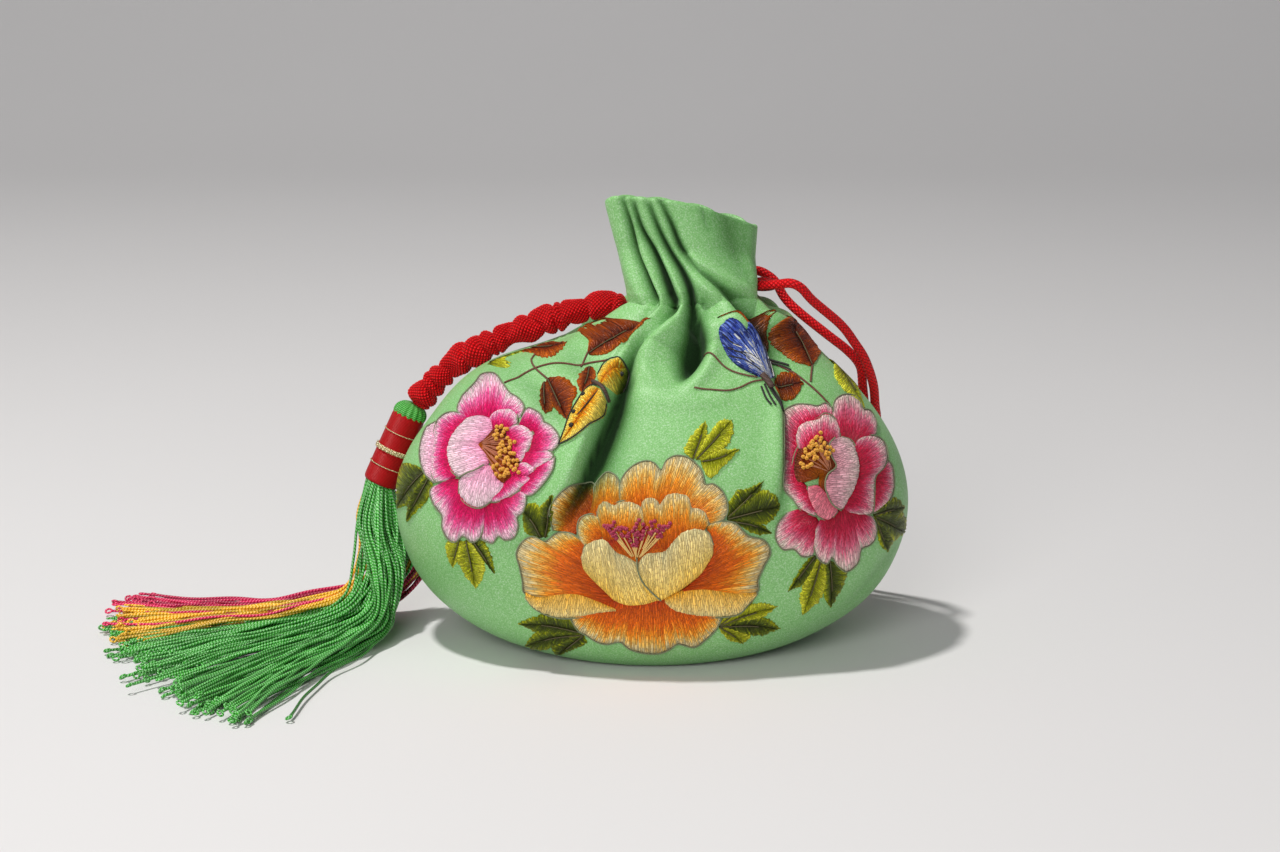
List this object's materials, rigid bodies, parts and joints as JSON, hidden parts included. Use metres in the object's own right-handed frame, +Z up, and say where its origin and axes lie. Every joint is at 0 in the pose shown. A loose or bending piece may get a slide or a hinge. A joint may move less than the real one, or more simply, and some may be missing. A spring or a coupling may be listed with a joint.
{
  "type": "embroidered drawstring pouch",
  "caption": "Quilted satin drawstring pouch with embroidered flowers, a gathered neck and frill, a knotted cord ending in a tassel on one side and a plain pull cord on the other.",
  "frame": {"origin": "middle of the flat base that the pouch stands on", "axes": "+X to the right of the embroidered front, along the widest size; +Y from the front to the back; +Z up, from the base to the frill"},
  "size_m": [0.2566, 0.1666, 0.1431],
  "materials": {
    "satin_green": "satin weave with a soft sheen",
    "wadding_white": "matt padded wadding",
    "lining_green": "smooth lining cloth",
    "cord_red": "braided silk cord",
    "wrap_red": "silk thread wound side by side",
    "gold_thread": "metallic gold thread",
    "strand_green": "twisted silk strand",
    "strand_yellow": "twisted silk strand",
    "strand_pink": "twisted silk strand"
  },
  "bodies": {
    "pouch": {"front_panel": "satin_green", "back_panel": "satin_green", "front_wadding": "wadding_white", "back_wadding": "wadding_white", "front_lining": "lining_green", "back_lining": "lining_green", "front_channel": "satin_green", "back_channel": "satin_green", "left_drawcord": "cord_red", "right_drawcord": "cord_red"},
    "front_frill": {"front_frill": "satin_green"},
    "back_frill": {"back_frill": "satin_green"},
    "knotted_cord": {"knotted_cord": "cord_red"},
    "tassel_head": {"tassel_core": "strand_green", "tassel_wrap": "wrap_red", "tassel_cap": "strand_green", "upper_gold_thread": "gold_thread", "gold_braid": "gold_thread", "lower_gold_thread": "gold_thread"},
    "tassel_skirt": {"pink_strands": "strand_pink", "yellow_strands": "strand_yellow", "green_back_strands": "strand_green", "green_middle_strands": "strand_green", "green_front_strands": "strand_green"},
    "pull_cord": {"pull_cord": "cord_red"}
  },
  "joints": [
    {"name": "front_frill_flap", "type": "hinge", "parent": "pouch", "child": "front_frill", "pos_m": [0.0125, -0.011, 0.1148], "axis": [0.9968, 0, 0.0797], "range_deg": [0, 25]},
    {"name": "back_frill_flap", "type": "hinge", "parent": "pouch", "child": "back_frill", "pos_m": [0.0125, 0.011, 0.1148], "axis": [-0.9968, 0, -0.0797], "range_deg": [0, 25]},
    {"name": "knotted_cord_lift", "type": "hinge", "parent": "pouch", "child": "knotted_cord", "pos_m": [-0.0079, 0.001, 0.1089], "axis": [0, 1, 0], "range_deg": [0, 40]},
    {"name": "tassel_swing", "type": "hinge", "parent": "knotted_cord", "child": "tassel_head", "pos_m": [-0.0766, 0.0177, 0.0708], "axis": [0, 1, 0], "range_deg": [0, 45]},
    {"name": "strands_swing", "type": "hinge", "parent": "tassel_head", "child": "tassel_skirt", "pos_m": [-0.0922, 0.016, 0.0481], "axis": [0, 1, 0], "range_deg": [0, 25]},
    {"name": "pull_cord_lift", "type": "hinge", "parent": "pouch", "child": "pull_cord", "pos_m": [0.0295, 0, 0.116], "axis": [0, -1, 0], "range_deg": [0, 45]}
  ]
}
